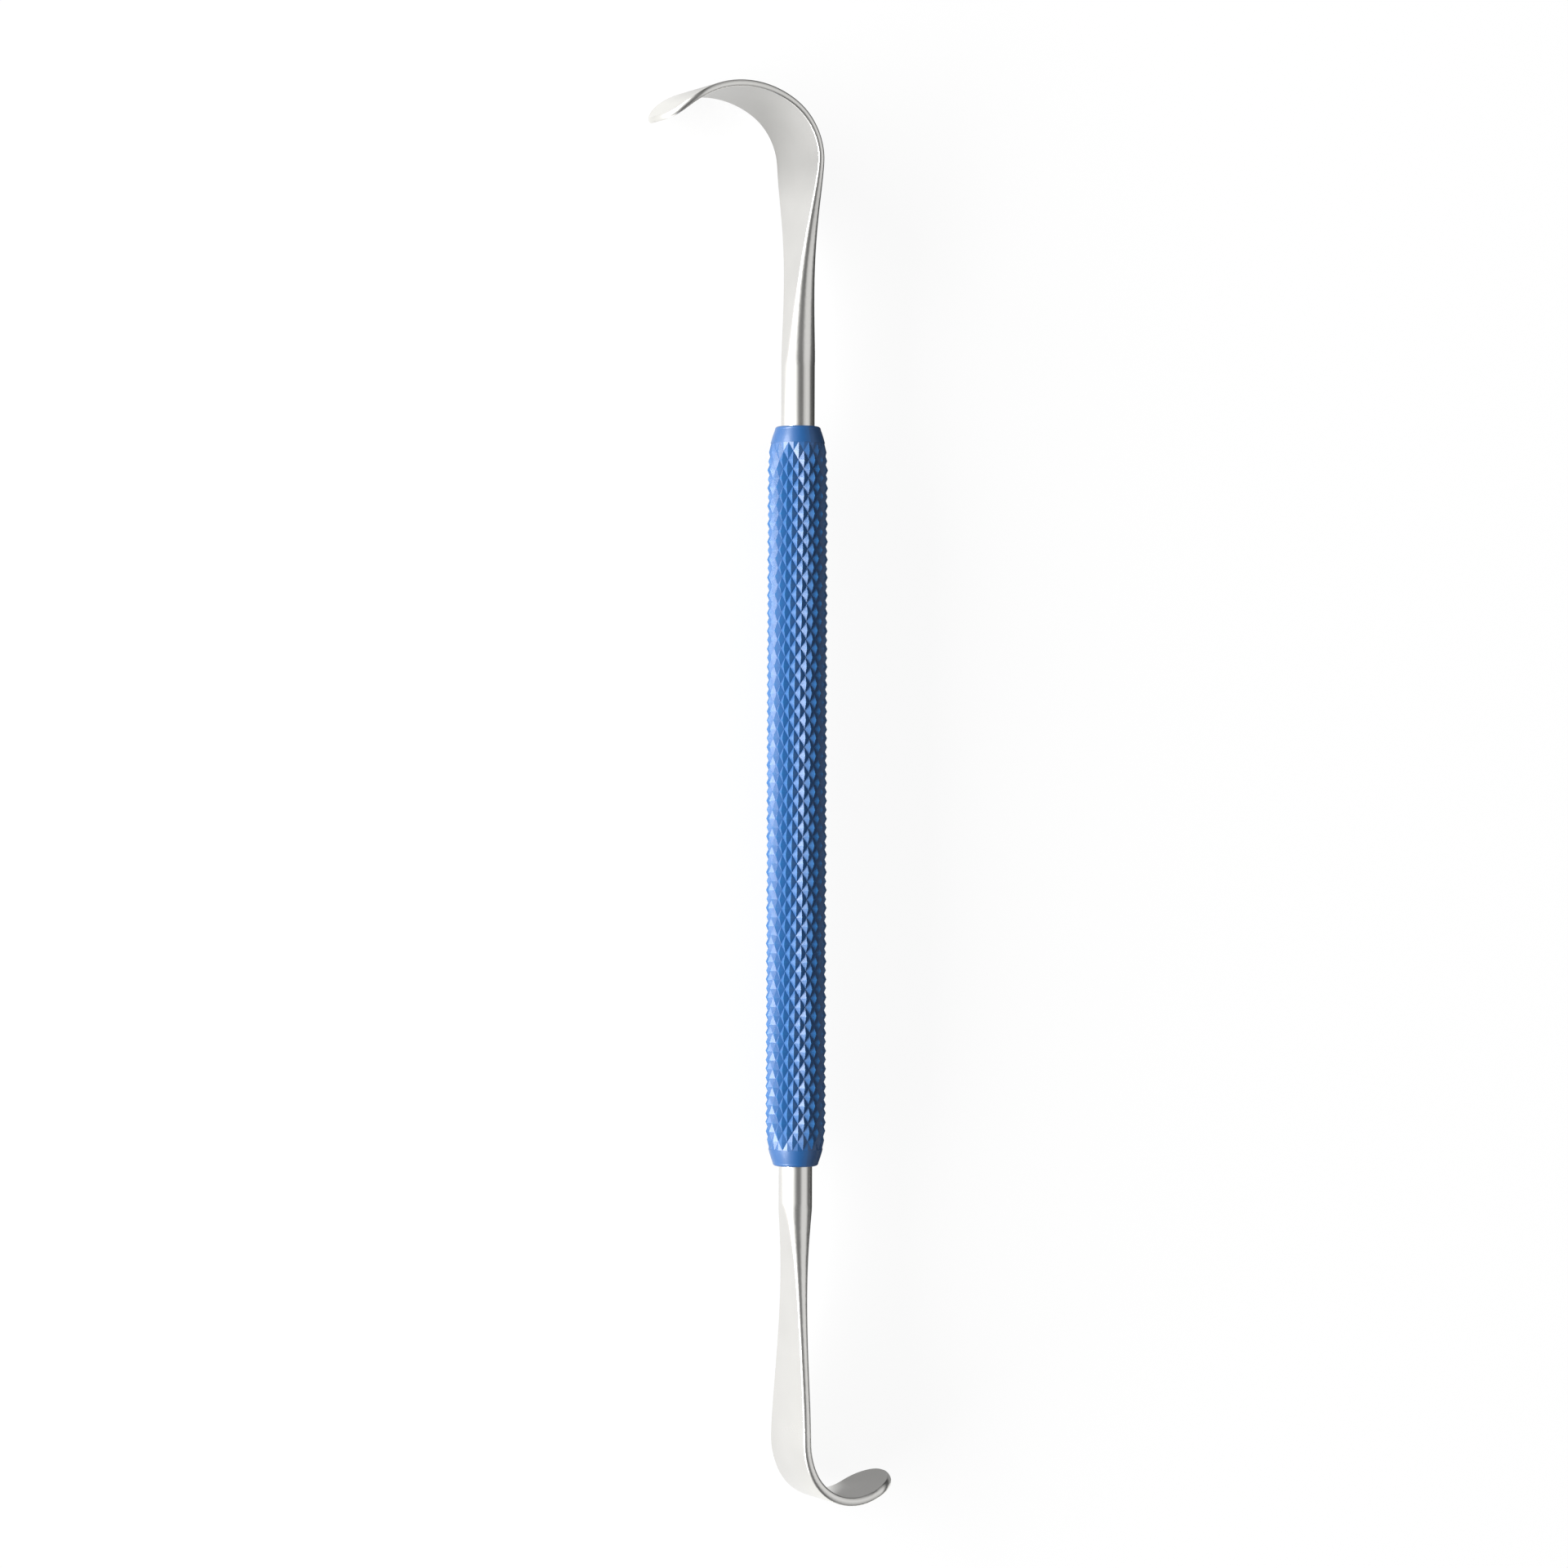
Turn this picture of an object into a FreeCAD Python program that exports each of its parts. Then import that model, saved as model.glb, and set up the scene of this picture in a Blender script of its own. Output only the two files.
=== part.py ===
import FreeCAD, Part
import math
import os

# A double-ended handheld retractor lying on a table, in millimetres.
# The grip lies along Y, the deep hook is at the +Y end and bends to -X,
# the shallow hook is at the -Y end and bends to +X, and Z is up.
# Both hooks bend in the level plane, so their blades stand on their long edges.

# Grip: a solid rod with a diamond knurl between two smooth collars
grip_length = 99.3
grip_diameter = 8.15
collar_taper_length = 6.1
collar_end_diameter = 5.87
collar_edge_radius = 0.4
collar_shoulder = 0.03
knurl_depth = 0.5
knurl_starts = 16
knurl_pitch = 2.4

# The knurl's rows turn slowly round the grip along its length: by these degrees in each
# millimetre, from a first row that is turned by these degrees from the top
knurl_twist = 0.213
knurl_first_turn = 7.75

# Sockets in the grip's ends, which hold the two shanks
socket_depth = 20.0
socket_chamfer = 0.25
socket_clearance = 0.02
socket_end_gap = 0.3

# Round steel bar that both working ends are forged and ground from, the depth by which the
# ground neck lies below it, and the length by which the neck's root runs into it
shank_diameter = 4.5
neck_step = 0.02
neck_root = 0.3

# Deep hook: its bends follow one another with these radii and turns in degrees, and a turn
# below zero bends back
deep_shank_shown = 8.1
deep_neck_length = 26.95
deep_neck_lean = 0.65
deep_blade_width = 12.2
deep_blade_thickness = 0.85
deep_bend_radii = [8.8, 13.3, 12.2, 4.0]
deep_bend_turns = [59.4, 43.6, 33.8, -33.0]
deep_tip_rounding = 6.5

# Shallow hook
shallow_shank_shown = 5.0
shallow_neck_length = 31.5
shallow_neck_lean = 1.0
shallow_blade_width = 9.8
shallow_blade_thickness = 1.15
shallow_bend_radii = [10.4, 7.0, 43.0]
shallow_bend_turns = [25.5, 90.9, 6.3]
shallow_tip_rounding = 4.2

# How a neck is ground from the round bar to the blade: the power of the place along the
# neck by which it widens, and the power by which the bar's extra thickness runs out
deep_neck_powers = (3.1, 1.4)
shallow_neck_powers = (2.15, 4.2)
widening_roundness = 1.5

# How far the sides are rounded off beyond the round bar's own curve, where 1 is half-round,
# and the share of the bar's thickness that the neck's root lacks, so that it keeps its flats
rounding_off = 0.4
root_flatness = 0.0005

# Sections of a blade: along its neck, for each of these turns of a bend, and round its tip
neck_sections = 16
neck_section_crowding = 1.5
degrees_per_section = 8.0
tip_sections = 12
last_tip_angle = 88.0
tip_side_share = 0.85
side_steps = 6

# Gap that faces are closed over when they are joined into one skin
join_gap = 1e-7

up = FreeCAD.Vector(0, 0, 1)
shank_radius = shank_diameter / 2
neck_radius = shank_radius - neck_step
root_roundness = 1 - root_flatness
crest_radius = grip_diameter / 2
groove_radius = crest_radius - knurl_depth
collar_end_radius = collar_end_diameter / 2


class HookLine:
    """The middle line of a working end, in the level plane, from the start of its neck."""

    def __init__(self, start_y, end_sign, lean, straight, radii, turns):
        self.end_sign = end_sign
        self.stretches = [(straight, 0.0, start_y, math.radians(lean), 0.0)]
        for radius, turn in zip(radii, turns):
            x, y, heading = self.along(self.stretches[-1], self.stretches[-1][0])
            length = radius * abs(math.radians(turn))
            self.stretches.append((length, x, y, heading, -math.radians(turn) / length))
        self.length = sum(stretch[0] for stretch in self.stretches)

    def along(self, stretch, distance):
        """Where a straight or an arc has come to, and its heading there."""
        length, x, y, heading, rate = stretch
        turned = heading + rate * distance
        if rate == 0.0:
            x += self.end_sign * math.sin(heading) * distance
            y += self.end_sign * math.cos(heading) * distance
        else:
            x += self.end_sign * (math.cos(heading) - math.cos(turned)) / rate
            y += self.end_sign * (math.sin(turned) - math.sin(heading)) / rate
        return x, y, turned

    def place(self, distance):
        """The point at a distance, and the direction across the blade's thickness there."""
        found = self.stretches[-1]
        left = distance - self.length + found[0]
        begun = 0.0
        for stretch in self.stretches:
            if distance <= begun + stretch[0]:
                found = stretch
                left = distance - begun
                break
            begun += stretch[0]
        x, y, heading = self.along(found, left)
        across = FreeCAD.Vector(math.cos(heading), -math.sin(heading), 0)
        return FreeCAD.Vector(x, y, 0), across


def side_depth(half_thickness):
    """Height of a crowned side: the round bar's own curve, and some rounding off."""
    bar_curve = neck_radius - math.sqrt(neck_radius ** 2 - half_thickness ** 2)
    return bar_curve + (half_thickness - bar_curve) * rounding_off


def section_sides(point, across, width, half_thickness, depth):
    """The two sides of a section, each half an ellipse of a depth."""
    sides = []
    for end in (1, -1):
        points = []
        for i in range(side_steps + 1):
            turn = math.pi / 2 * (1 - 2 * i / side_steps)
            reach = half_thickness * math.sin(turn)
            drop = depth * (1 - math.cos(turn))
            high = up * (end * (width / 2 - drop))
            points.append(point + across * (end * reach) + high)
        curve = Part.BSplineCurve()
        steps = [i / side_steps for i in range(side_steps + 1)]
        curve.interpolate(Points=points, Parameters=steps)
        sides.append(curve)
    return sides


def neck_section(line, distance, thickness_left, widening, width, thickness):
    """A section part of the way from the round bar to the flat blade."""
    half = thickness / 2 + (neck_radius - thickness / 2) * thickness_left
    full_width = 2 * neck_radius + (width - 2 * neck_radius) * widening
    point, across = line.place(distance)
    return section_sides(point, across, full_width, half, side_depth(half))


def neck_sections_of(line, neck_length, powers, width, thickness):
    """Sections of the ground neck, closer together near the bar, with a root inside it."""
    widening_power, thinning_power = powers
    sections = [neck_section(line, -neck_root, root_roundness, 0.0, width, thickness)]
    for i in range(neck_sections):
        share = (i / neck_sections) ** neck_section_crowding
        thickness_left = min((1 - share) ** thinning_power, root_roundness)
        widening = 1 - (1 - share ** widening_power) ** widening_roundness
        place = share * neck_length
        sections.append(neck_section(line, place, thickness_left, widening, width, thickness))
    return sections


def bend_sections_of(line, start, end, total_turn, width, thickness):
    """Even sections along the bent part of a blade, with crowned edges."""
    depth = side_depth(thickness / 2)
    count = max(math.ceil(total_turn / degrees_per_section), 2)
    sections = []
    for i in range(count):
        point, across = line.place(start + (end - start) * i / count)
        sections.append(section_sides(point, across, width, thickness / 2, depth))
    return sections


def tip_sections_of(line, start, rounding, width, thickness):
    """Sections of an elliptical tip whose edge is crowned all the way round."""
    crown = side_depth(thickness / 2)
    sections = []
    for i in range(tip_sections):
        angle = math.radians(last_tip_angle) * i / (tip_sections - 1)
        point, across = line.place(start + rounding * math.sin(angle))
        half_width = width / 2 * math.cos(angle)
        lean = math.atan(width / 2 / rounding * math.tan(angle))
        depth = min(crown / math.cos(lean), tip_side_share * half_width)
        from_crown = max(1 - rounding * (1 - math.sin(angle)) / crown, 0.0)
        half = thickness / 2 * math.sqrt(1 - from_crown ** 2)
        sections.append(section_sides(point, across, 2 * half_width, half, depth))
    return sections


def smooth_face(rows, spans, degree, knots, repeats):
    """A face drawn smoothly along rows of control points."""
    along_repeats = [4] + [1] * (len(spans) - 2) + [4]
    surface = Part.BSplineSurface()
    surface.buildFromPolesMultsKnots(rows, along_repeats, repeats, spans, knots, False, False, 3, degree)
    return surface.toShape()


def end_face(sides):
    """Flat face across a section."""
    first, second = [side.toShape() for side in sides]
    start, turn = sides[0].getPole(1), sides[0].getPole(sides[0].NbPoles)
    back, finish = sides[1].getPole(1), sides[1].getPole(sides[1].NbPoles)
    return Part.Face(Part.Wire([first, Part.makeLine(turn, back), second, Part.makeLine(finish, start)]))


def closed_solid(faces):
    """One solid from faces that meet along their edges."""
    skin = Part.Compound(faces)
    skin.sewShape()
    solid = Part.Solid(skin.Shells[0])
    solid.fix(join_gap, join_gap, join_gap)
    return solid


def blade_solid(sections):
    """Two flats, two crowned sides and two ends over the sections of a working end."""
    first = [sides[0].getPoles() for sides in sections]
    second = [sides[1].getPoles() for sides in sections]
    middles = [(before[0] + after[0]) * 0.5 for before, after in zip(first, second)]
    reached = [0.0]
    for here, there in zip(middles, middles[1:]):
        reached.append(reached[-1] + here.distanceToPoint(there))
    spans = [sum(reached[i:i + 3]) / 3 for i in range(1, len(reached) - 3)]
    spans = [reached[0]] + spans + [reached[-1]]
    curve = sections[0][0]
    knots, repeats = curve.getKnots(), curve.getMultiplicities()
    outer_flat = [[after[-1], before[0]] for before, after in zip(first, second)]
    inner_flat = [[before[-1], after[0]] for before, after in zip(first, second)]
    return closed_solid([
        smooth_face(first, spans, curve.Degree, knots, repeats),
        smooth_face(second, spans, curve.Degree, knots, repeats),
        smooth_face(outer_flat, spans, 1, [0.0, 1.0], [2, 2]),
        smooth_face(inner_flat, spans, 1, [0.0, 1.0], [2, 2]),
        end_face(sections[0]),
        end_face(sections[-1]),
    ])


def working_end(end_sign, shank_shown, line, neck_length, powers, total_turn, width, thickness, rounding):
    """Tang, shank, ground neck, bent blade and rounded tip of one working end."""
    tip_start = line.length - rounding
    sections = neck_sections_of(line, neck_length, powers, width, thickness)
    sections += bend_sections_of(line, neck_length, tip_start, total_turn, width, thickness)
    sections += tip_sections_of(line, tip_start, rounding, width, thickness)
    tang_length = socket_depth - socket_end_gap
    bar_start = FreeCAD.Vector(0, end_sign * (grip_length / 2 - tang_length), 0)
    bar_length = tang_length + shank_shown
    bar = Part.makeCylinder(shank_radius, bar_length, bar_start, FreeCAD.Vector(0, end_sign, 0))
    return bar.fuse(blade_solid(sections))


def deep_blade():
    start_y = grip_length / 2 + deep_shank_shown
    line = HookLine(start_y, 1, deep_neck_lean, deep_neck_length, deep_bend_radii, deep_bend_turns)
    total_turn = sum(abs(turn) for turn in deep_bend_turns)
    return working_end(
        1, deep_shank_shown, line, deep_neck_length, deep_neck_powers, total_turn,
        deep_blade_width, deep_blade_thickness, deep_tip_rounding,
    )


def shallow_blade():
    start_y = -grip_length / 2 - shallow_shank_shown
    line = HookLine(
        start_y, -1, shallow_neck_lean, shallow_neck_length, shallow_bend_radii, shallow_bend_turns,
    )
    total_turn = sum(abs(turn) for turn in shallow_bend_turns)
    return working_end(
        -1, shallow_shank_shown, line, shallow_neck_length, shallow_neck_powers, total_turn,
        shallow_blade_width, shallow_blade_thickness, shallow_tip_rounding,
    )


def crown_radius():
    """Radius of the arc that tapers a collar along the grip."""
    drop = crest_radius - collar_end_radius
    return (collar_taper_length ** 2 + drop ** 2) / (2 * drop)


def collar_radius(y):
    """Radius of the grip's smooth envelope: a rod with a crowned taper at each end."""
    crown = crown_radius()
    into = max(abs(y) - (grip_length / 2 - collar_taper_length), 0.0)
    return crest_radius - crown + math.sqrt(crown ** 2 - into ** 2)


def knurl_half_length():
    """Half of the whole rows of knurl that fit between the places where the grooves run out."""
    crown = crown_radius()
    runout = math.sqrt(crown ** 2 - (crown - knurl_depth) ** 2)
    limit = grip_length / 2 - collar_taper_length + runout
    return int(2 * limit / (knurl_pitch / 2)) * knurl_pitch / 4


def knurl_point(row, column):
    """Crest or groove crossing of the knurl, kept under the tapering envelope."""
    y = knurl_half_length() - row * knurl_pitch / 2
    turned = knurl_first_turn - knurl_twist * row * knurl_pitch / 2
    angle = math.pi * column / knurl_starts + math.radians(turned)
    radius = crest_radius if (row + column) % 2 == 0 else groove_radius
    radius = min(radius, collar_radius(y))
    return FreeCAD.Vector(radius * math.sin(angle), y, radius * math.cos(angle))


def triangle(a, b, c):
    return Part.Face(Part.makePolygon([a, b, c, a]))


def knurl_faces(rows):
    """Four-sided pyramids between two families of crossing helical grooves."""
    ring = range(2 * knurl_starts)
    points = [[knurl_point(row, column) for column in ring] for row in range(rows + 1)]
    faces = []
    for row in range(rows):
        for column in ring:
            following = (column + 1) % len(ring)
            a, b = points[row][column], points[row][following]
            c, d = points[row + 1][following], points[row + 1][column]
            if (row + column) % 2 == 0:
                faces += [triangle(a, b, d), triangle(b, c, d)]
            else:
                faces += [triangle(a, b, c), triangle(a, c, d)]
    return faces, points[0], points[rows]


def collar_profile(end_sign, y_ring):
    """Half outline of a collar: crown, rounded edge, end face, chamfer and blind socket."""
    y_end = end_sign * grip_length / 2
    y_round = y_end - end_sign * collar_edge_radius
    y_middle = (y_ring + y_round) / 2
    y_chamfer = y_end - end_sign * socket_chamfer
    y_bottom = y_end - end_sign * socket_depth
    round_radius = collar_radius(y_round)
    face_radius = round_radius - collar_edge_radius
    corner = collar_edge_radius * (1 - math.sqrt(0.5))
    socket_radius = shank_radius + socket_clearance

    def at(radius, y):
        return FreeCAD.Vector(0, y, radius)

    shoulder = at(collar_radius(y_ring) + collar_shoulder, y_ring)
    crown_middle = at(collar_radius(y_middle) + collar_shoulder / 2, y_middle)
    crown_end = at(round_radius, y_round)
    edge_middle = at(round_radius - corner, y_end - end_sign * corner)
    face = at(face_radius, y_end)
    mouth = at(socket_radius + socket_chamfer, y_end)
    wall = at(socket_radius, y_chamfer)
    bottom = at(socket_radius, y_bottom)
    return Part.Wire([
        Part.Arc(shoulder, crown_middle, crown_end).toShape(),
        Part.Arc(crown_end, edge_middle, face).toShape(),
        Part.makeLine(face, mouth),
        Part.makeLine(mouth, wall),
        Part.makeLine(wall, bottom),
        Part.makeLine(bottom, at(0, y_bottom)),
    ])


def collar_faces(end_sign, ring):
    """Turned collar and socket at one end, and the shoulder where the knurl ends."""
    y_ring = ring[0].y
    turned = collar_profile(end_sign, y_ring).revolve(FreeCAD.Vector(0, 0, 0), FreeCAD.Vector(0, 1, 0), 360)
    rim_radius = collar_radius(y_ring) + collar_shoulder
    rim = Part.makeCircle(rim_radius, FreeCAD.Vector(0, y_ring, 0), FreeCAD.Vector(0, 1, 0))
    shoulder = Part.Face([Part.Wire(rim), Part.makePolygon(ring + ring[:1])])
    return turned.Faces + [shoulder]


def grip():
    """The coloured knurled rod, with a blind socket in each end."""
    rows = round(4 * knurl_half_length() / knurl_pitch)
    faces, top_ring, bottom_ring = knurl_faces(rows)
    faces += collar_faces(1, top_ring)
    faces += collar_faces(-1, bottom_ring)
    return closed_solid(faces)


nodes = {"deep_blade": deep_blade(), "shallow_blade": shallow_blade(), "knurled_grip": grip()}

# The frame's origin lies on the table, under the middle of the whole outline
boxes = [shape.optimalBoundingBox() for shape in nodes.values()]
middle_x = (min(box.XMin for box in boxes) + max(box.XMax for box in boxes)) / 2
middle_y = (min(box.YMin for box in boxes) + max(box.YMax for box in boxes)) / 2
table_z = min(box.ZMin for box in boxes)

os.makedirs("parts", exist_ok=True)
for name, shape in nodes.items():
    shape.translate(FreeCAD.Vector(-middle_x, -middle_y, -table_z))
    shape.exportStep("parts/" + name + ".step")
    print(name, len(shape.Solids), shape.isValid(), round(shape.Volume, 2))
print("axis at", round(-middle_x, 3), round(-middle_y, 3), round(-table_z, 3))
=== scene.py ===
import bpy
import math
from mathutils import Matrix, Vector


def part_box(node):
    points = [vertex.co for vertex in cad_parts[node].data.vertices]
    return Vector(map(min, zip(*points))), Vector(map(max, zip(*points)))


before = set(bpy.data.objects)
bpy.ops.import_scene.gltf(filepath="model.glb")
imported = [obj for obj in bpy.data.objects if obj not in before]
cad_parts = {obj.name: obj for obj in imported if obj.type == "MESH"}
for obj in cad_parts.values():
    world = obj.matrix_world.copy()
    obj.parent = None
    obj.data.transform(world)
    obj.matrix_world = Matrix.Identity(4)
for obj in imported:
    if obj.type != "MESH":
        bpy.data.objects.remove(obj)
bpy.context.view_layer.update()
bpy.context.scene.view_settings.view_transform = "Standard"

# Camera
# It looks down on the lying instrument from a little to its left, so that each blade shows
# its broad side as well as its edge. It aims a little to the left of the grip's middle and
# toward the deep hook.
grip_low, grip_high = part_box("knurled_grip")
grip_middle = (Vector(grip_low) + Vector(grip_high)) / 2
slant = math.radians(28.0)
nod = math.radians(-0.2)
roll = math.radians(0.19)
distance = 0.600
aim_to_left = 0.00170
aim_to_deep_hook = 0.00165
pixels_per_metre = 9110.0
picture_width = 1920
along = Vector((0.0, 1.0, 0.0))
level_sight = Vector((math.sin(slant), 0.0, -math.cos(slant)))
level_right = Vector((math.cos(slant), 0.0, math.sin(slant)))
sight = level_sight * math.cos(nod) + along * math.sin(nod)
nodded_up = along * math.cos(nod) - level_sight * math.sin(nod)
right = level_right * math.cos(roll) + nodded_up * math.sin(roll)
upward = nodded_up * math.cos(roll) - level_right * math.sin(roll)
camera_data = bpy.data.cameras.new("camera")
camera_data.sensor_width = 36.0
camera_data.lens = camera_data.sensor_width * pixels_per_metre * distance / picture_width
camera_data.clip_start = 0.01
camera = bpy.data.objects.new("camera", camera_data)
bpy.context.collection.objects.link(camera)
turn = Matrix((right, upward, -sight)).transposed().to_4x4()
place = grip_middle - aim_to_left * right + aim_to_deep_hook * upward - distance * sight
camera.matrix_world = Matrix.Translation(place) @ turn
bpy.context.scene.camera = camera

# Floor
# A white acrylic table under the instrument, which keeps the instrument's soft shadow. The
# camera sees it nearly white. What the instrument mirrors of it is a painted reflection:
# white and glowing on the lamp's side, and on the other a painted shade, dark like a grey
# sheet lying a little askew, which ends, paler, at the shallow hook.
# Where the painted shade lies in the mirrored floor.
painted_shade_slope = 0.045
painted_shade_left, painted_shade_right = -0.010, 0.010
painted_shade_end_at, painted_shade_starts_at = -0.098, -0.093
painted_shade_thin_at, painted_shade_full_at = -0.080, -0.060
painted_shade_thin = 0.95
painted_reflection_levels = (
    (0.0, (1.13, 1.13, 1.11)),
    (0.3, (1.08, 1.08, 1.08)),
    (0.65, (1.02, 1.02, 1.02)),
    (0.85, (0.92, 0.92, 0.92)),
    (0.95, (0.36, 0.36, 0.36)),
    (1.0, (0.07, 0.07, 0.07)),
)
bpy.ops.object.select_all(action="DESELECT")
bpy.ops.mesh.primitive_plane_add(size=6.0, location=(0.0, 0.0, 0.0))
floor = bpy.context.object
floor.name = "floor"
floor_white = bpy.data.materials.new("floor_white")
floor_white.use_nodes = True
nodes, links = floor_white.node_tree.nodes, floor_white.node_tree.links
nodes.clear()
surface = nodes.new("ShaderNodeOutputMaterial")
acrylic = nodes.new("ShaderNodeBsdfPrincipled")
acrylic.inputs["Base Color"].default_value = (0.94, 0.94, 0.94, 1.0)
acrylic.inputs["Roughness"].default_value = 0.22
coordinate = nodes.new("ShaderNodeTexCoord")
parts = nodes.new("ShaderNodeSeparateXYZ")
askew = nodes.new("ShaderNodeVectorMath")
askew.operation = "DOT_PRODUCT"
askew.inputs[1].default_value = (1.0, painted_shade_slope, 0.0)
across = nodes.new("ShaderNodeMapRange")
across.inputs["From Min"].default_value = painted_shade_left
across.inputs["From Max"].default_value = painted_shade_right
painted_shade_end = nodes.new("ShaderNodeMapRange")
painted_shade_end.inputs["From Min"].default_value = painted_shade_end_at
painted_shade_end.inputs["From Max"].default_value = painted_shade_starts_at
painted_shade_end.inputs["To Max"].default_value = painted_shade_thin
painted_shade_thick = nodes.new("ShaderNodeMapRange")
painted_shade_thick.inputs["From Min"].default_value = painted_shade_thin_at
painted_shade_thick.inputs["From Max"].default_value = painted_shade_full_at
painted_shade_thick.inputs["To Max"].default_value = 1.0 - painted_shade_thin
painted_shade_grey = nodes.new("ShaderNodeMath")
within = nodes.new("ShaderNodeMath")
within.operation = "MULTIPLY"
# The mirrored floor's painted reflection, from glowing white to painted shade.
painted_reflection = nodes.new("ShaderNodeValToRGB")
for position, shade in painted_reflection_levels:
    if 0.0 < position < 1.0:
        stop = painted_reflection.color_ramp.elements.new(position)
    else:
        stop = painted_reflection.color_ramp.elements[0 if position == 0.0 else -1]
    stop.color = (*shade, 1.0)
links.new(coordinate.outputs["Object"], parts.inputs[0])
links.new(coordinate.outputs["Object"], askew.inputs[0])
links.new(askew.outputs["Value"], across.inputs["Value"])
links.new(parts.outputs["Y"], painted_shade_end.inputs["Value"])
links.new(parts.outputs["Y"], painted_shade_thick.inputs["Value"])
links.new(painted_shade_end.outputs["Result"], painted_shade_grey.inputs[0])
links.new(painted_shade_thick.outputs["Result"], painted_shade_grey.inputs[1])
links.new(across.outputs["Result"], within.inputs[0])
links.new(painted_shade_grey.outputs[0], within.inputs[1])
links.new(within.outputs[0], painted_reflection.inputs["Fac"])

# Floor under the deep hook
# The hook's shade inside its bend is painted into the floor, so its inner face mirrors a
# greyer floor there. The painted shade fades in over a few millimetres, from the left and
# from the grip's side.
painted_hook_shade = (0.64, 0.64, 0.64, 1.0)
hook_unshaded_x, hook_shaded_x = -0.014, -0.008
hook_unshaded_y, hook_shaded_y = 0.081, 0.090
hook_side = nodes.new("ShaderNodeMapRange")
hook_side.inputs["From Min"].default_value = hook_unshaded_x
hook_side.inputs["From Max"].default_value = hook_shaded_x
hook_end = nodes.new("ShaderNodeMapRange")
hook_end.inputs["From Min"].default_value = hook_unshaded_y
hook_end.inputs["From Max"].default_value = hook_shaded_y
under_hook = nodes.new("ShaderNodeMath")
under_hook.operation = "MULTIPLY"
# Multiplies the painted shade into the mirrored floor.
painted_hook_greyed = nodes.new("ShaderNodeMixRGB")
painted_hook_greyed.blend_type = "MULTIPLY"
painted_hook_greyed.inputs["Color2"].default_value = painted_hook_shade
links.new(parts.outputs["X"], hook_side.inputs["Value"])
links.new(parts.outputs["Y"], hook_end.inputs["Value"])
links.new(hook_side.outputs["Result"], under_hook.inputs[0])
links.new(hook_end.outputs["Result"], under_hook.inputs[1])
links.new(under_hook.outputs[0], painted_hook_greyed.inputs["Fac"])
links.new(painted_reflection.outputs["Color"], painted_hook_greyed.inputs["Color1"])

# Floor beside the grip
# A painted glow on the floor along the grip, on the lamp's side, seen only in reflections. It
# is a painted reflection that gives the knurl its pale facets. It starts a few millimetres to
# the left of the grip and fades out past both its ends.
painted_glow_white = (3.5, 3.5, 3.5, 1.0)
unlit_x, lit_x = -0.006, -0.014
unlit_y, lit_y = 0.058, 0.050
lit_side = nodes.new("ShaderNodeMapRange")
lit_side.inputs["From Min"].default_value = unlit_x
lit_side.inputs["From Max"].default_value = lit_x
midway = nodes.new("ShaderNodeMath")
midway.operation = "ABSOLUTE"
lit_length = nodes.new("ShaderNodeMapRange")
lit_length.inputs["From Min"].default_value = unlit_y
lit_length.inputs["From Max"].default_value = lit_y
beside_grip = nodes.new("ShaderNodeMath")
beside_grip.operation = "MULTIPLY"
# Adds the painted glow to the mirrored floor.
painted_glow = nodes.new("ShaderNodeMixRGB")
painted_glow.inputs["Color2"].default_value = painted_glow_white
links.new(parts.outputs["X"], lit_side.inputs["Value"])
links.new(parts.outputs["Y"], midway.inputs[0])
links.new(midway.outputs[0], lit_length.inputs["Value"])
links.new(lit_side.outputs["Result"], beside_grip.inputs[0])
links.new(lit_length.outputs["Result"], beside_grip.inputs[1])
links.new(beside_grip.outputs[0], painted_glow.inputs["Fac"])
links.new(painted_hook_greyed.outputs["Color"], painted_glow.inputs["Color1"])

# Floor as it is seen
# The camera sees mostly an even white with a share of the lit acrylic and its shadow, and
# what mirrors the floor sees the painted reflection, painted shade and painted glow.
white_share = 0.86
path = nodes.new("ShaderNodeLightPath")
to_eye = nodes.new("ShaderNodeMixRGB")
to_eye.inputs["Color2"].default_value = (1.03, 1.03, 1.03, 1.0)
glow = nodes.new("ShaderNodeEmission")
seen = nodes.new("ShaderNodeMath")
seen.operation = "MULTIPLY_ADD"
seen.inputs[1].default_value = white_share
blend = nodes.new("ShaderNodeMixShader")
links.new(path.outputs["Is Camera Ray"], to_eye.inputs["Fac"])
links.new(painted_glow.outputs["Color"], to_eye.inputs["Color1"])
links.new(to_eye.outputs["Color"], glow.inputs["Color"])
links.new(path.outputs["Is Camera Ray"], seen.inputs[0])
links.new(path.outputs["Is Glossy Ray"], seen.inputs[2])
links.new(seen.outputs[0], blend.inputs["Fac"])
links.new(acrylic.outputs["BSDF"], blend.inputs[1])
links.new(glow.outputs["Emission"], blend.inputs[2])
links.new(blend.outputs["Shader"], surface.inputs["Surface"])
floor.data.materials.append(floor_white)

# World
# White to the camera and a soft fill to everything else. What the steel mirrors of it is pale
# to the left, dark straight above and low on the right, with a pale strip between, and it is
# darker toward both ends of the instrument.
soft_fill = 0.42
sky_bands = (
    (-90, 1.5),
    (-48, 1.3),
    (-18, 0.20),
    (4, 0.18),
    (21, 0.90),
    (52, 0.90),
    (70, 0.13),
    (90, 0.13),
)
world = bpy.data.worlds.new("studio")
bpy.context.scene.world = world
world.use_nodes = True
nodes, links = world.node_tree.nodes, world.node_tree.links
nodes.clear()
surface = nodes.new("ShaderNodeOutputWorld")
coordinate = nodes.new("ShaderNodeTexCoord")
parts = nodes.new("ShaderNodeSeparateXYZ")
angle = nodes.new("ShaderNodeMath")
angle.operation = "ARCTAN2"
share = nodes.new("ShaderNodeMapRange")
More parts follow.
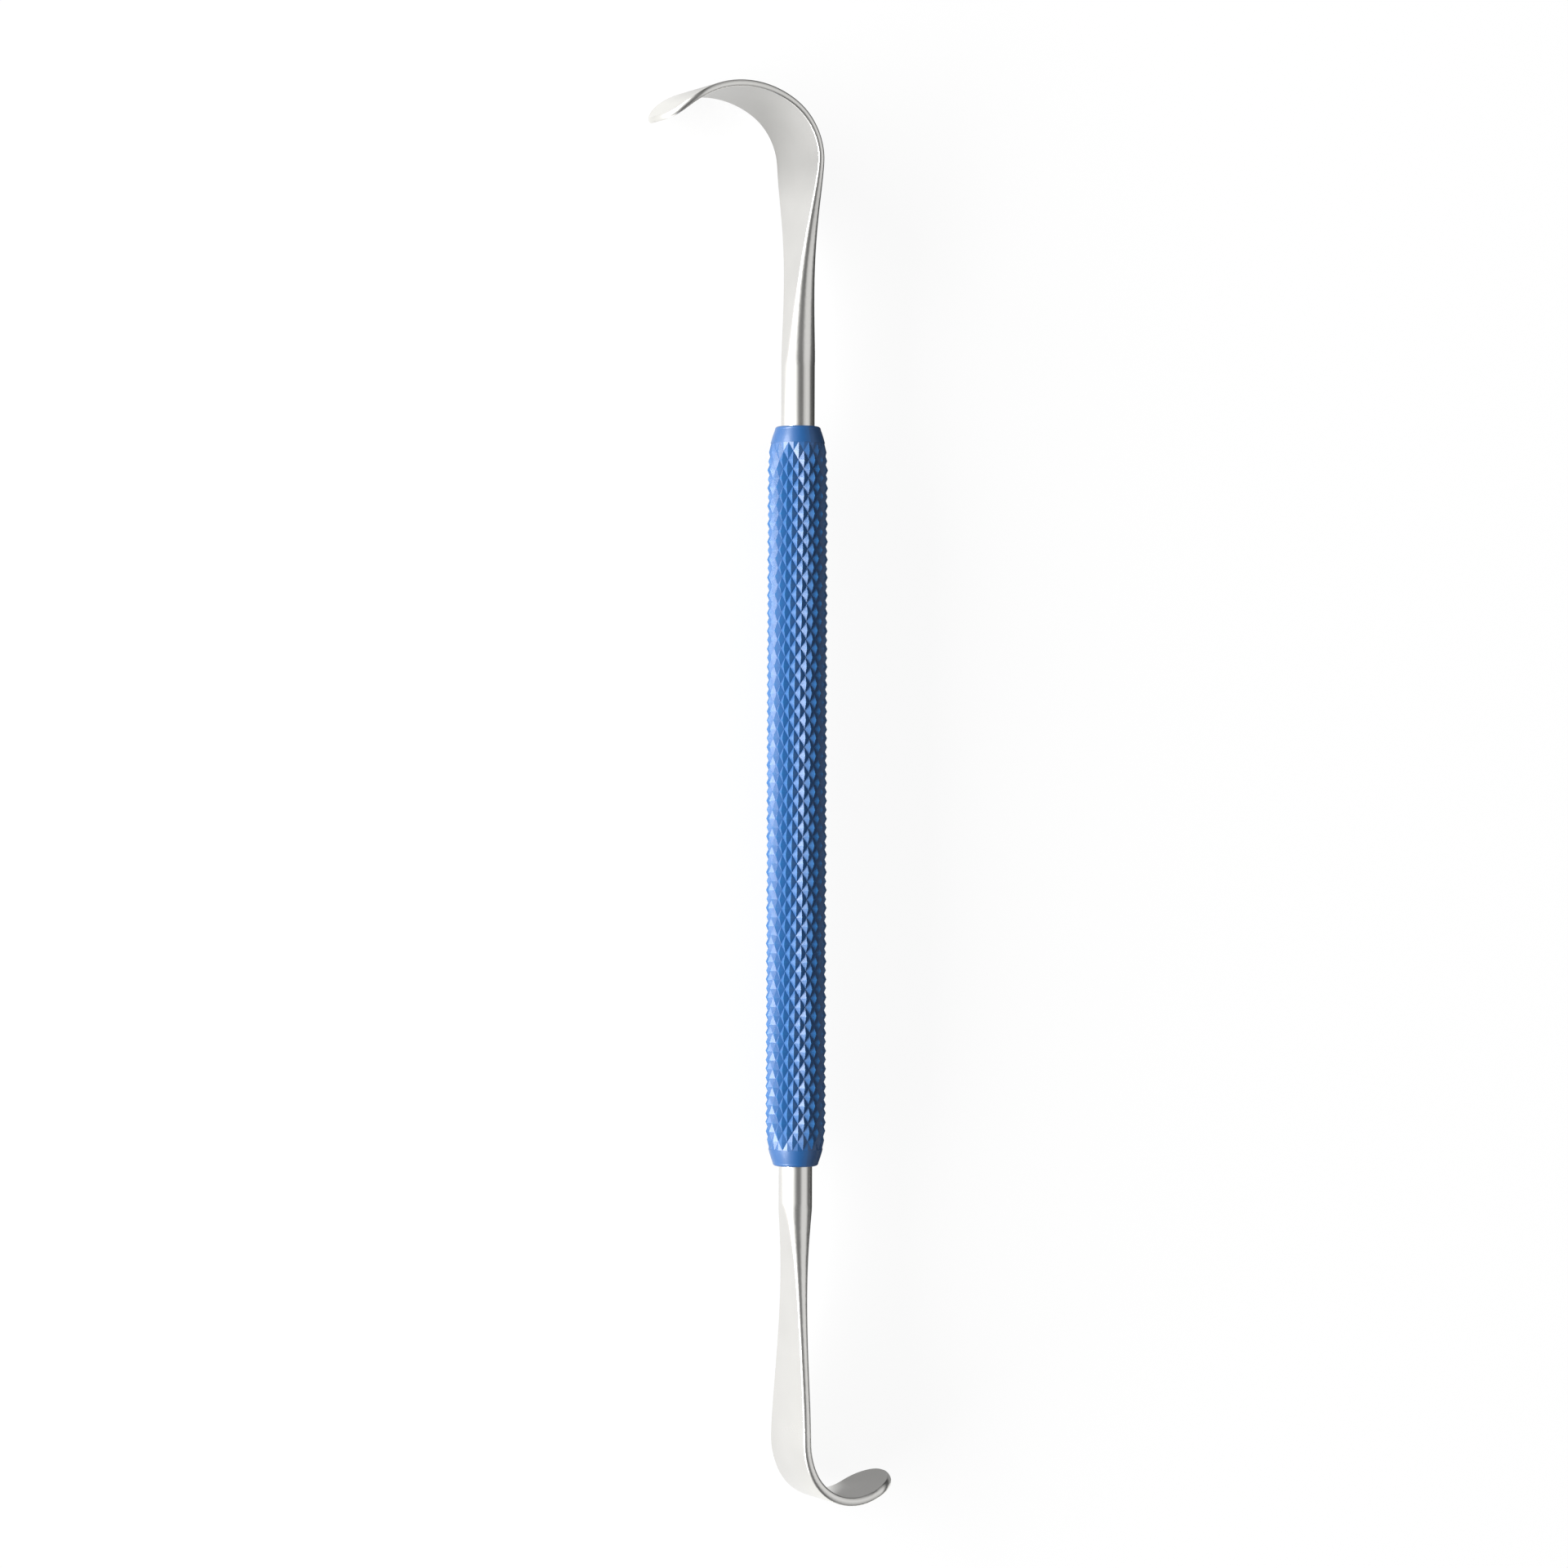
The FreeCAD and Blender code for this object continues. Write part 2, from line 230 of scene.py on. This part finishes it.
share.inputs["From Min"].default_value = -math.pi / 2
share.inputs["From Max"].default_value = math.pi / 2
bands = nodes.new("ShaderNodeValToRGB")
bands.color_ramp.interpolation = "EASE"
for degrees, level in sky_bands:
    if -90 < degrees < 90:
        stop = bands.color_ramp.elements.new((degrees + 90) / 180)
    else:
        stop = bands.color_ramp.elements[0 if degrees == -90 else -1]
    stop.color = (level, level, level, 1.0)
lengthwise = nodes.new("ShaderNodeMath")
lengthwise.operation = "ABSOLUTE"
ends = nodes.new("ShaderNodeMapRange")
ends.inputs["From Min"].default_value = 0.15
ends.inputs["From Max"].default_value = 0.75
ends.inputs["To Min"].default_value = 1.0
ends.inputs["To Max"].default_value = 0.45
banded = nodes.new("ShaderNodeBackground")
fill = nodes.new("ShaderNodeBackground")
fill.inputs["Color"].default_value = (1.0, 1.0, 1.0, 1.0)
fill.inputs["Strength"].default_value = soft_fill
white = nodes.new("ShaderNodeBackground")
white.inputs["Color"].default_value = (1.0, 1.0, 1.0, 1.0)
path = nodes.new("ShaderNodeLightPath")
to_steel = nodes.new("ShaderNodeMixShader")
to_camera = nodes.new("ShaderNodeMixShader")
links.new(coordinate.outputs["Generated"], parts.inputs[0])
links.new(parts.outputs["X"], angle.inputs[0])
links.new(parts.outputs["Z"], angle.inputs[1])
links.new(angle.outputs[0], share.inputs["Value"])
links.new(share.outputs["Result"], bands.inputs["Fac"])
links.new(bands.outputs["Color"], banded.inputs["Color"])
links.new(parts.outputs["Y"], lengthwise.inputs[0])
links.new(lengthwise.outputs[0], ends.inputs["Value"])
links.new(ends.outputs["Result"], banded.inputs["Strength"])
links.new(path.outputs["Is Glossy Ray"], to_steel.inputs["Fac"])
links.new(fill.outputs[0], to_steel.inputs[1])
links.new(banded.outputs[0], to_steel.inputs[2])
links.new(path.outputs["Is Camera Ray"], to_camera.inputs["Fac"])
links.new(to_steel.outputs[0], to_camera.inputs[1])
links.new(white.outputs[0], to_camera.inputs[2])
links.new(to_camera.outputs[0], surface.inputs["Surface"])

# Lamp
# One broad softbox stands low on the left, with its long side along the instrument, and
# faces the grip.
lamp_height = 0.66
lamp_length = 2.2
lamp_place = Vector((-1.60, 0.05, 0.345))
lamp_data = bpy.data.lights.new("softbox", "AREA")
lamp_data.shape = "RECTANGLE"
lamp_data.size = lamp_height
lamp_data.size_y = lamp_length
lamp_data.energy = 88.0
lamp = bpy.data.objects.new("softbox", lamp_data)
bpy.context.collection.objects.link(lamp)
back = (lamp_place - grip_middle).normalized()
side = along.cross(back).normalized()
turn = Matrix((side, back.cross(side), back)).transposed().to_4x4()
lamp.matrix_world = Matrix.Translation(lamp_place) @ turn

# Steel ends: deep_blade and shallow_blade
# Forged stainless steel, ground to shape and then glass-beaded to a soft satin with a fine
# grain and faint clouds in its tone.
darker_steel = (0.72, 0.712, 0.690, 1.0)
paler_steel = (0.76, 0.752, 0.730, 1.0)
smoothest, roughest = 0.24, 0.29
steel = bpy.data.materials.new("satin_steel")
steel.use_nodes = True
nodes, links = steel.node_tree.nodes, steel.node_tree.links
shader = nodes["Principled BSDF"]
shader.inputs["Metallic"].default_value = 1.0
coordinate = nodes.new("ShaderNodeTexCoord")
clouds = nodes.new("ShaderNodeTexNoise")
clouds.inputs["Scale"].default_value = 140.0
clouds.inputs["Detail"].default_value = 3.0
tint = nodes.new("ShaderNodeValToRGB")
tint.color_ramp.elements[0].position = 0.3
tint.color_ramp.elements[0].color = darker_steel
tint.color_ramp.elements[1].position = 0.7
tint.color_ramp.elements[1].color = paler_steel
rough = nodes.new("ShaderNodeMapRange")
rough.inputs["To Min"].default_value = smoothest
rough.inputs["To Max"].default_value = roughest
grain = nodes.new("ShaderNodeTexNoise")
grain.inputs["Scale"].default_value = 6500.0
grain.inputs["Detail"].default_value = 2.0
bump = nodes.new("ShaderNodeBump")
bump.inputs["Strength"].default_value = 0.10
bump.inputs["Distance"].default_value = 0.00002
links.new(coordinate.outputs["Object"], clouds.inputs["Vector"])
links.new(clouds.outputs["Fac"], tint.inputs["Fac"])
links.new(tint.outputs["Color"], shader.inputs["Base Color"])
links.new(clouds.outputs["Fac"], rough.inputs["Value"])
links.new(rough.outputs["Result"], shader.inputs["Roughness"])
links.new(coordinate.outputs["Object"], grain.inputs["Vector"])
links.new(grain.outputs["Fac"], bump.inputs["Height"])
links.new(bump.outputs["Normal"], shader.inputs["Normal"])
for name in ("deep_blade", "shallow_blade"):
    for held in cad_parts[name].material_slots:
        held.material = steel

# Grip: knurled_grip
# A turned and diamond-knurled rod with a satin blue anodised skin. Painted shade darkens the
# blue in the grooves and a painted highlight pales it along the crests.
groove_radius = 0.00358
crest_radius = 0.00407
shaded_groove_blue = (0.0, 0.060, 0.20, 1.0)
facet_blue = (0.0, 0.080, 0.245, 1.0)
highlit_crest_blue = (0.004, 0.112, 0.30, 1.0)
blue = bpy.data.materials.new("blue_anodised")
blue.use_nodes = True
nodes, links = blue.node_tree.nodes, blue.node_tree.links
shader = nodes["Principled BSDF"]
shader.inputs["Metallic"].default_value = 0.0
shader.inputs["Roughness"].default_value = 0.33
shader.inputs["IOR"].default_value = 1.48
shader.inputs["Coat Weight"].default_value = 0.75
shader.inputs["Coat Roughness"].default_value = 0.55
coordinate = nodes.new("ShaderNodeTexCoord")
shift = nodes.new("ShaderNodeMapping")
shift.inputs["Location"].default_value = (-grip_middle.x, 0.0, -grip_middle.z)
parts = nodes.new("ShaderNodeSeparateXYZ")
flat = nodes.new("ShaderNodeCombineXYZ")
radius = nodes.new("ShaderNodeVectorMath")
radius.operation = "LENGTH"
height = nodes.new("ShaderNodeMapRange")
height.inputs["From Min"].default_value = groove_radius
height.inputs["From Max"].default_value = crest_radius
# The blue, darkened by painted shade in the grooves and paled by a painted highlight on the
# crests.
blue_with_painted_light = nodes.new("ShaderNodeValToRGB")
blue_with_painted_light.color_ramp.elements[0].color = shaded_groove_blue
blue_with_painted_light.color_ramp.elements[1].position = 0.8
blue_with_painted_light.color_ramp.elements[1].color = facet_blue
blue_with_painted_light.color_ramp.elements.new(0.97).color = highlit_crest_blue
links.new(coordinate.outputs["Object"], shift.inputs["Vector"])
links.new(shift.outputs["Vector"], parts.inputs[0])
links.new(parts.outputs["X"], flat.inputs["X"])
links.new(parts.outputs["Z"], flat.inputs["Z"])
links.new(flat.outputs[0], radius.inputs[0])
links.new(radius.outputs["Value"], height.inputs["Value"])
links.new(height.outputs["Result"], blue_with_painted_light.inputs["Fac"])
links.new(blue_with_painted_light.outputs["Color"], shader.inputs["Base Color"])
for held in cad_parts["knurled_grip"].material_slots:
    held.material = blue
